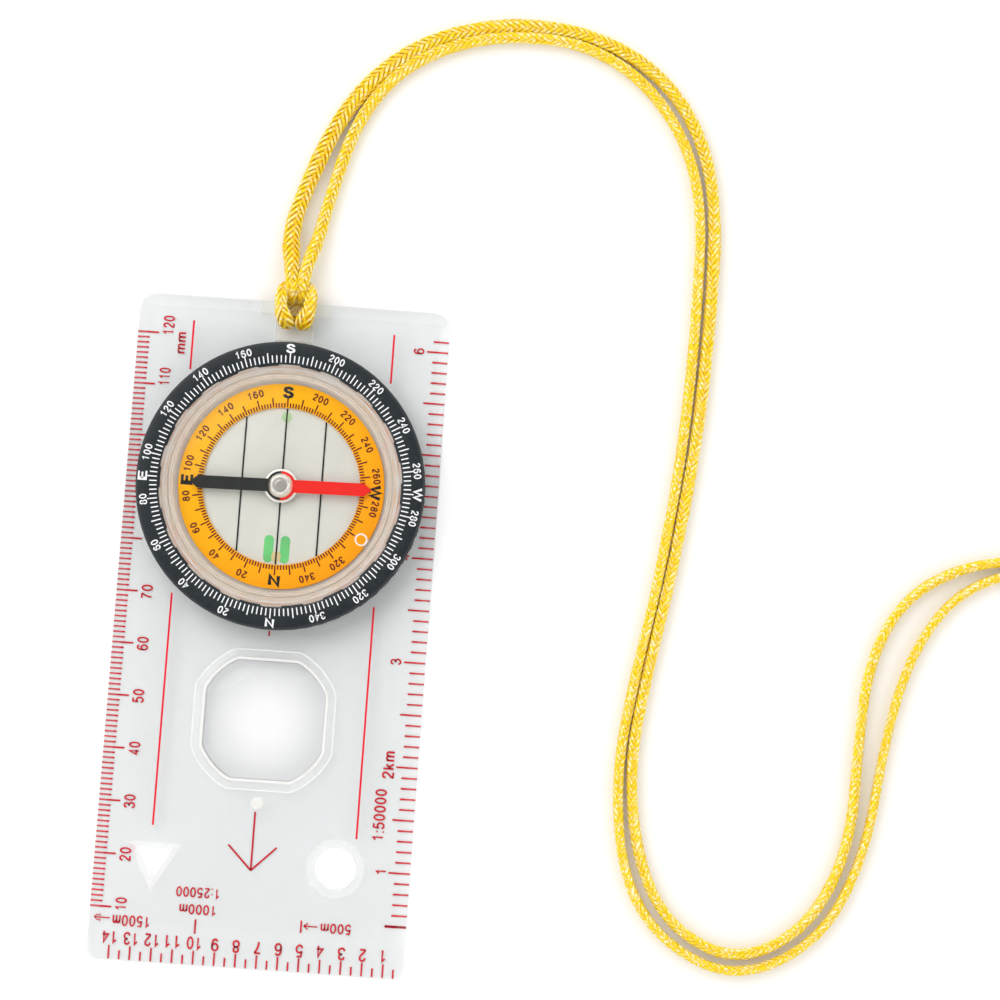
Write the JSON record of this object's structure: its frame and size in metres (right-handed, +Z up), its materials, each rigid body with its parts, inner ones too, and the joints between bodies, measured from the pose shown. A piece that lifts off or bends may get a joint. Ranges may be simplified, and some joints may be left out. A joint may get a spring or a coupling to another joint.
{
  "type": "baseplate compass",
  "caption": "Clear rectangular compass with map scales, a turning liquid-filled dial, a free needle, a magnifier, tracing holes and a braided lanyard.",
  "frame": {"origin": "middle of the baseplate's underside", "axes": "+Y towards the lanyard end, +X to the right seen from above, +Z up through the dial"},
  "size_m": [0.2003, 0.1871, 0.0088],
  "materials": {
    "clear_acrylic": "polished clear acrylic with bevelled edges and printed scales",
    "black_ring_plastic": "fine satin black moulding with white print",
    "orange_dial_plastic": "satin orange with dark red print",
    "cream_dial_plastic": "satin cream with black meridian lines",
    "luminous_paint": "matt luminous green",
    "seal_rubber": "soft tan rubber",
    "capsule_liquid": "clear colourless liquid",
    "pivot_brass": "turned brass",
    "pivot_steel": "polished hardened steel",
    "washer_steel": "thin spring steel",
    "needle_enamel": "satin enamel, red at the north end and black at the other",
    "cap_metal": "turned light alloy",
    "jewel": "polished synthetic jewel",
    "clear_nylon": "translucent moulding",
    "yellow_cord": "braided golden yellow polyester"
  },
  "bodies": {
    "plate": {"baseplate": "clear_acrylic", "magnifier_lens": "clear_acrylic", "lanyard_hitch": "yellow_cord", "lanyard_strand_left": "yellow_cord", "lanyard_strand_right": "yellow_cord", "lanyard_end_knot": "yellow_cord"},
    "housing": {"azimuth_ring": "black_ring_plastic", "capsule_base": "clear_acrylic", "capsule_seal": "seal_rubber", "capsule_lens": "clear_acrylic", "filler_plug": "clear_acrylic", "dial_disc": "cream_dial_plastic", "dial_ring": "orange_dial_plastic", "luminous_marks": "luminous_paint", "damping_fluid": "capsule_liquid", "pivot_bush": "pivot_brass", "pivot_pin": "pivot_steel", "retaining_ring": "clear_nylon", "friction_washer": "washer_steel"},
    "needle": {"needle_blade": "needle_enamel", "needle_cap": "cap_metal", "jewel_bearing": "jewel"}
  },
  "joints": [
    {"name": "housing_turn", "type": "hinge", "parent": "plate", "child": "housing", "pos_m": [0, 0.028, 0.0028], "axis": [0, 0, 1], "continuous": true},
    {"name": "needle_swing", "type": "hinge", "parent": "housing", "child": "needle", "pos_m": [0, 0.028, 0.0055], "axis": [0, 0, 1], "continuous": true}
  ]
}
